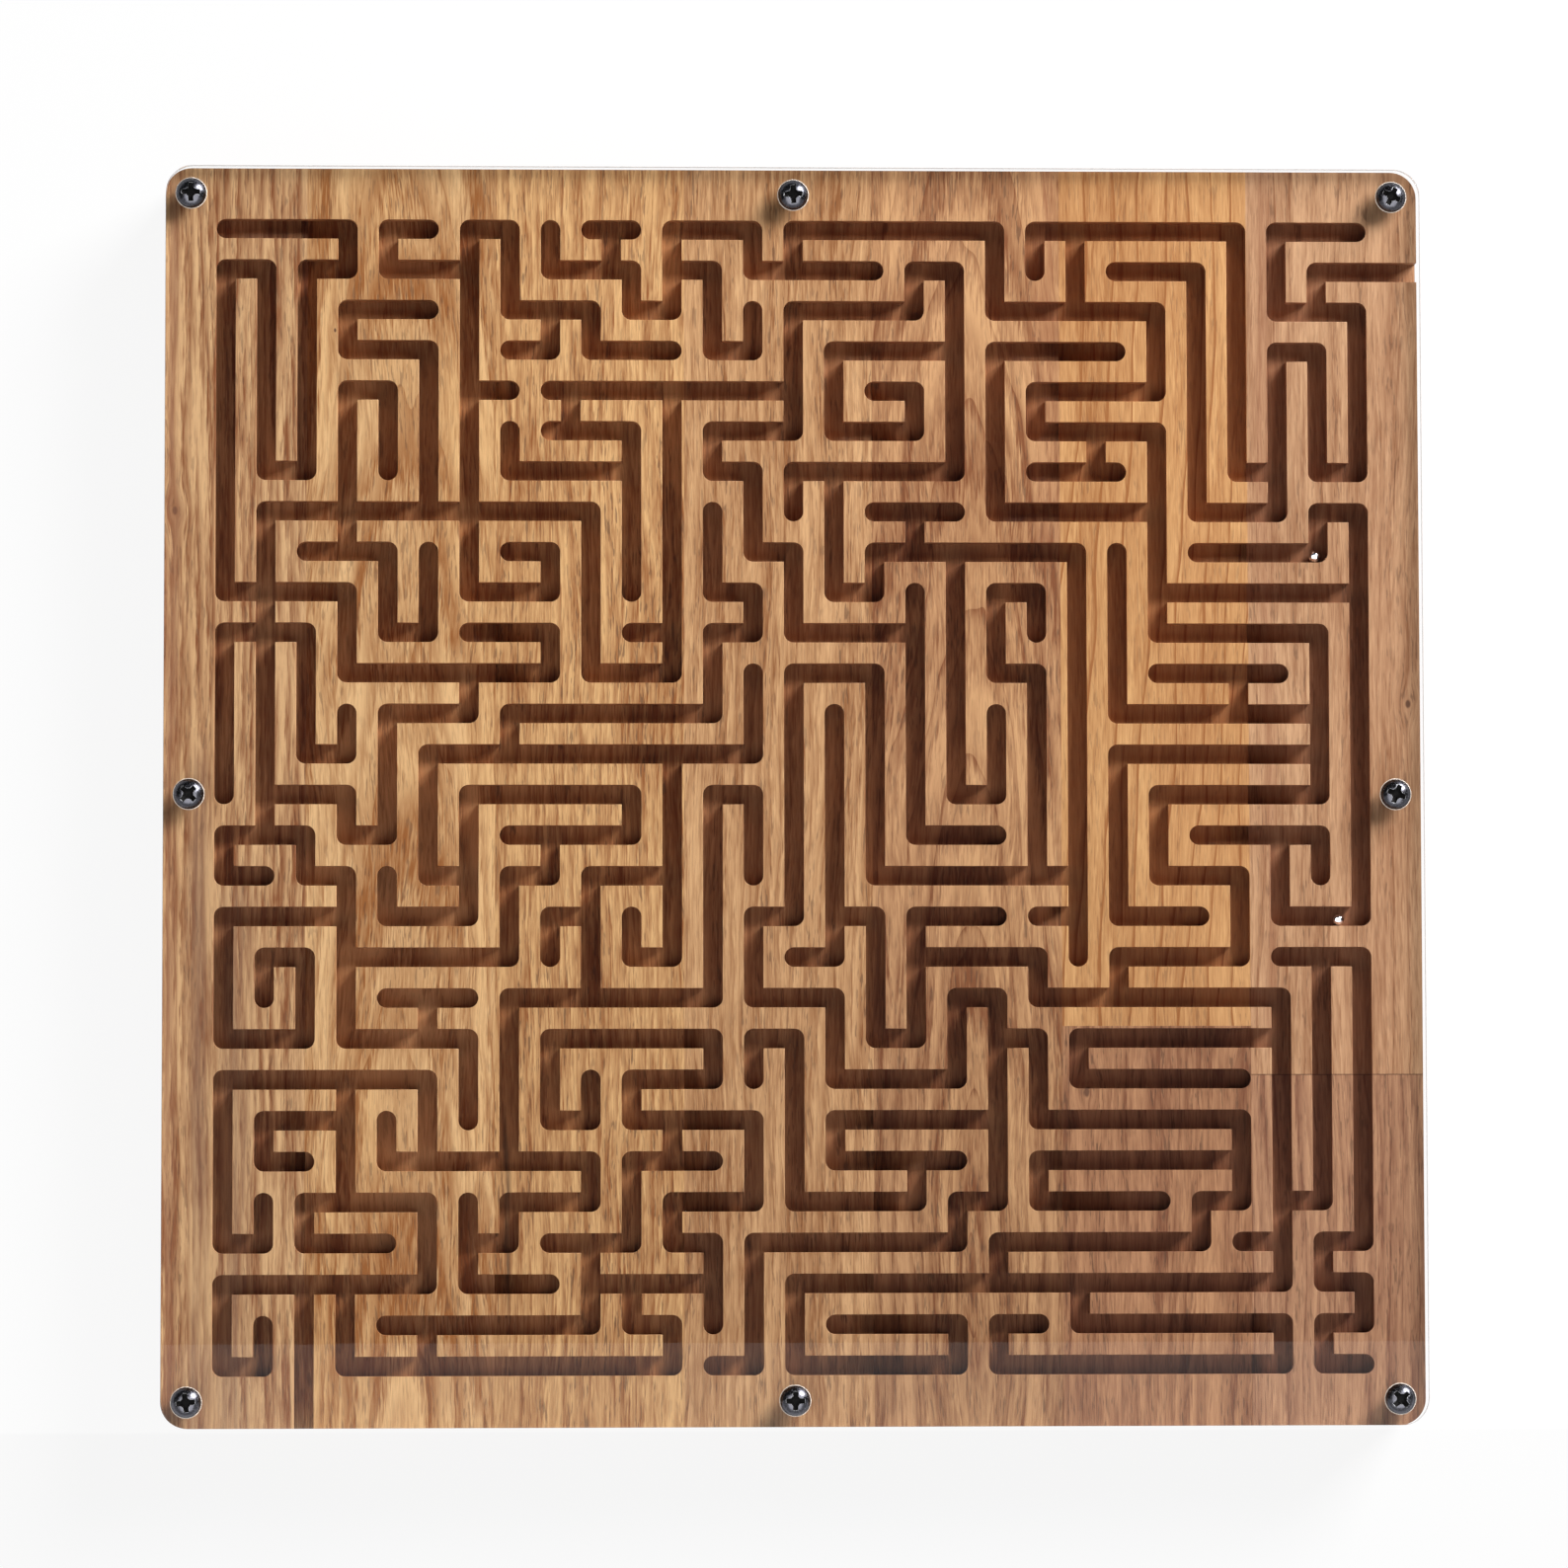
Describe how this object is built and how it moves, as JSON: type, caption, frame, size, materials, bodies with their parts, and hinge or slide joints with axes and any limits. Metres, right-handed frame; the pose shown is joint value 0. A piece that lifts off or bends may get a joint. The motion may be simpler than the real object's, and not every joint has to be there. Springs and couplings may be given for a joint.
{
  "type": "ball maze board",
  "caption": "Square oak panel glued up from staves, with a maze of milled channels under a clear screwed-on cover, through which small steel balls are tilted from entry to exit.",
  "frame": {"origin": "centre of the panel's back face", "axes": "+Z out of the maze's face, +Y to the top of the maze, +X to its right side"},
  "size_m": [0.3108, 0.3106, 0.0236],
  "materials": {
    "oak_1": "lightly oiled oak, grain along Y",
    "oak_2": "lightly oiled oak, grain along Y",
    "oak_3": "lightly oiled oak, grain along Y",
    "oak_4": "lightly oiled oak, grain along Y",
    "oak_5": "lightly oiled oak, grain along Y",
    "oak_6_upper": "lightly oiled oak, grain along Y",
    "oak_6_lower": "lightly oiled oak, grain along Y",
    "oak_7_upper": "lightly oiled oak, grain along Y",
    "oak_7_lower": "lightly oiled oak, grain along Y",
    "clear_acrylic": "clear and glossy",
    "black_steel": "black oxide with a satin gloss",
    "polished_steel": "polished"
  },
  "bodies": {
    "board": {"oak_stave_1": "oak_1", "oak_stave_2": "oak_2", "oak_stave_3": "oak_3", "oak_stave_4": "oak_4", "oak_stave_5": "oak_5", "oak_stave_6_upper": "oak_6_upper", "oak_stave_6_lower": "oak_6_lower", "oak_stave_7_upper": "oak_7_upper", "oak_stave_7_lower": "oak_7_lower", "acrylic_cover": "clear_acrylic", "cover_screws": "black_steel"},
    "upper_ball": {"upper_ball": "polished_steel"},
    "lower_ball": {"lower_ball": "polished_steel"}
  },
  "joints": [
    {"name": "upper_ball_roll", "type": "slide", "parent": "board", "child": "upper_ball", "axis": [1, 0, 0], "range_m": [-0.0293, 0.0007]},
    {"name": "lower_ball_roll", "type": "slide", "parent": "board", "child": "lower_ball", "axis": [1, 0, 0], "range_m": [-0.0145, 0.0055]}
  ]
}
